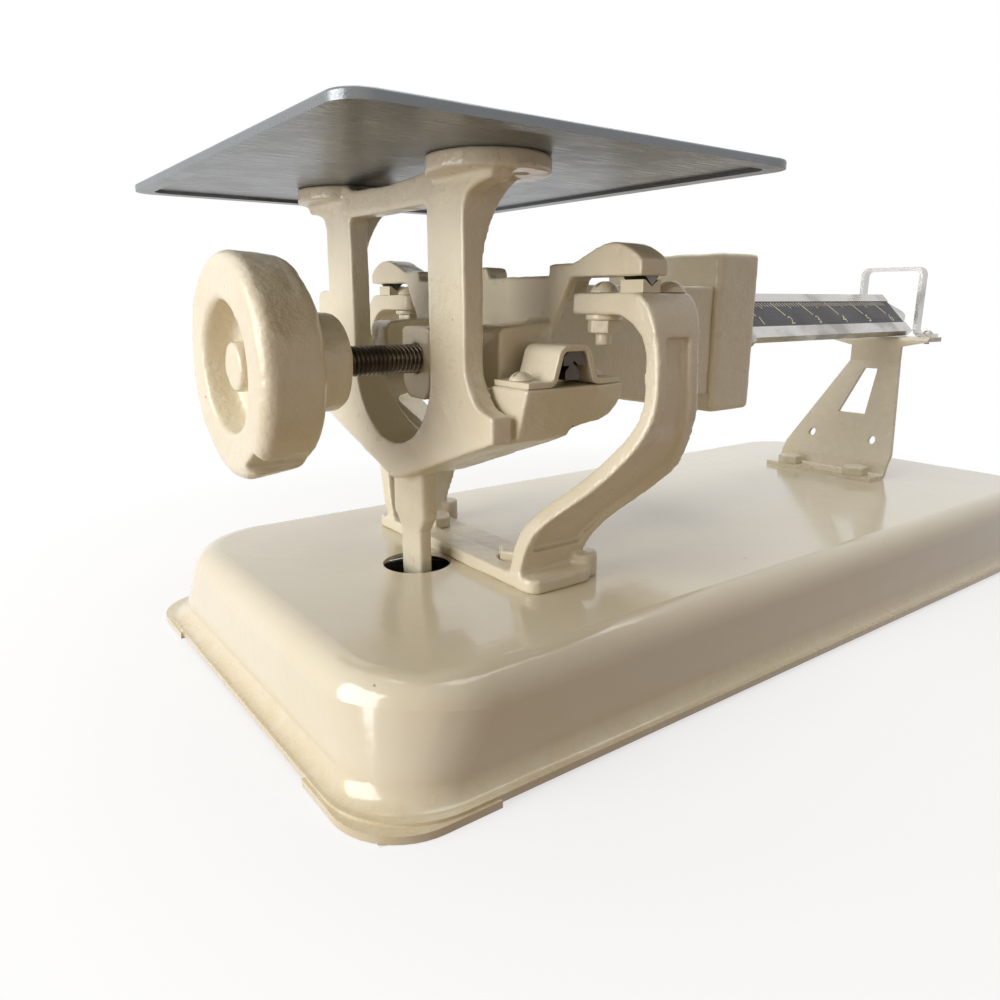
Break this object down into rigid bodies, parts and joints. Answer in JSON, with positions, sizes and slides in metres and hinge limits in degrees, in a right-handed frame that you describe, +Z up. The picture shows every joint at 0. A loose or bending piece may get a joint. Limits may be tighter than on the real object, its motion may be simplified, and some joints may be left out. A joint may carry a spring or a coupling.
{
  "type": "baby scale",
  "caption": "Mechanical beam scale for babies: sheet platform on a hanging cast frame, rocking lever with a slanted graduated beam, sliding poises and a threaded balance weight.",
  "frame": {"origin": "bottom centre of the base pan, on the surface that the scale stands on", "axes": "+X runs along the beam, from the weighing platform to the tip of the beam; +Z is up; the user reads the beam from the -Y side"},
  "size_m": [0.468, 0.2178, 0.1853],
  "materials": {
    "pan_enamel": "gloss",
    "cast_enamel": "gloss",
    "fastener_enamel": "gloss",
    "plain_steel": "satin",
    "knife_steel": "satin",
    "rod_steel": "satin",
    "nickel": "gloss",
    "poise_nickel": "gloss",
    "scale_black": "satin",
    "platter_steel": "satin",
    "lead": "matte"
  },
  "bodies": {
    "base": {"base_pan": "pan_enamel", "check_bracket": "pan_enamel", "anchor_pin": "plain_steel", "fulcrum_stand": "cast_enamel", "foot_bolts": "fastener_enamel", "foot_nuts": "plain_steel", "fulcrum_bearings": "knife_steel", "bearing_screws": "fastener_enamel", "bearing_washers": "fastener_enamel", "bearing_nuts": "fastener_enamel", "beam_stand": "pan_enamel", "beam_stand_bolts": "fastener_enamel", "beam_stand_nuts": "plain_steel", "trig_loop": "nickel", "loop_screws": "plain_steel"},
    "lever": {"main_lever": "cast_enamel", "fulcrum_knives": "knife_steel", "load_knives": "knife_steel", "counterweight_box": "cast_enamel", "box_lid": "cast_enamel", "lid_screws": "fastener_enamel", "lead_filling": "lead", "graduated_beam": "nickel", "scale_plate": "scale_black", "balance_rod": "rod_steel"},
    "carrier": {"carrier_frame": "cast_enamel", "carrier_stem": "cast_enamel", "load_bearings": "knife_steel", "load_straps": "fastener_enamel", "strap_screws": "fastener_enamel", "platter": "platter_steel", "platter_screws": "plain_steel", "stem_pin": "plain_steel"},
    "link": {"check_link": "plain_steel"},
    "washer": {"balance_washer": "rod_steel"},
    "weight": {"balance_weight": "cast_enamel"},
    "main_slider": {"main_poise": "poise_nickel"},
    "small_slider": {"small_poise": "poise_nickel"}
  },
  "joints": [
    {"name": "lever_rock", "type": "hinge", "parent": "base", "child": "lever", "pos_m": [-0.117, 0, 0.1447], "axis": [0, -1, 0], "range_deg": [0, 2.5]},
    {"name": "carrier_hang", "type": "hinge", "parent": "lever", "child": "carrier", "pos_m": [-0.1334, 0, 0.1206], "axis": [0, -1, 0], "range_deg": [-2.5, 0.2]},
    {"name": "check_link_swing", "type": "hinge", "parent": "base", "child": "link", "pos_m": [-0.11, 0, 0.016], "axis": [0, -1, 0], "range_deg": [0, 0.92]},
    {"name": "balance_travel", "type": "slide", "parent": "lever", "child": "washer", "axis": [1, 0, 0], "range_m": [-0.006, 0.006]},
    {"name": "balance_spin", "type": "hinge", "parent": "washer", "child": "weight", "pos_m": [-0.215, 0, 0.1186], "axis": [1, 0, 0], "range_deg": [-1190, 1190]},
    {"name": "main_poise_slide", "type": "slide", "parent": "lever", "child": "main_slider", "axis": [1, 0, 0], "range_m": [0, 0.15]},
    {"name": "small_poise_slide", "type": "slide", "parent": "lever", "child": "small_slider", "axis": [1, 0, 0], "range_m": [0, 0.15]}
  ],
  "couplings": [
    {"joint": "carrier_hang", "follows": "lever_rock", "ratio": -1},
    {"joint": "check_link_swing", "follows": "lever_rock", "ratio": 0.36607},
    {"joint": "balance_travel", "follows": "balance_spin", "m_per_rad": 0.00028871}
  ]
}
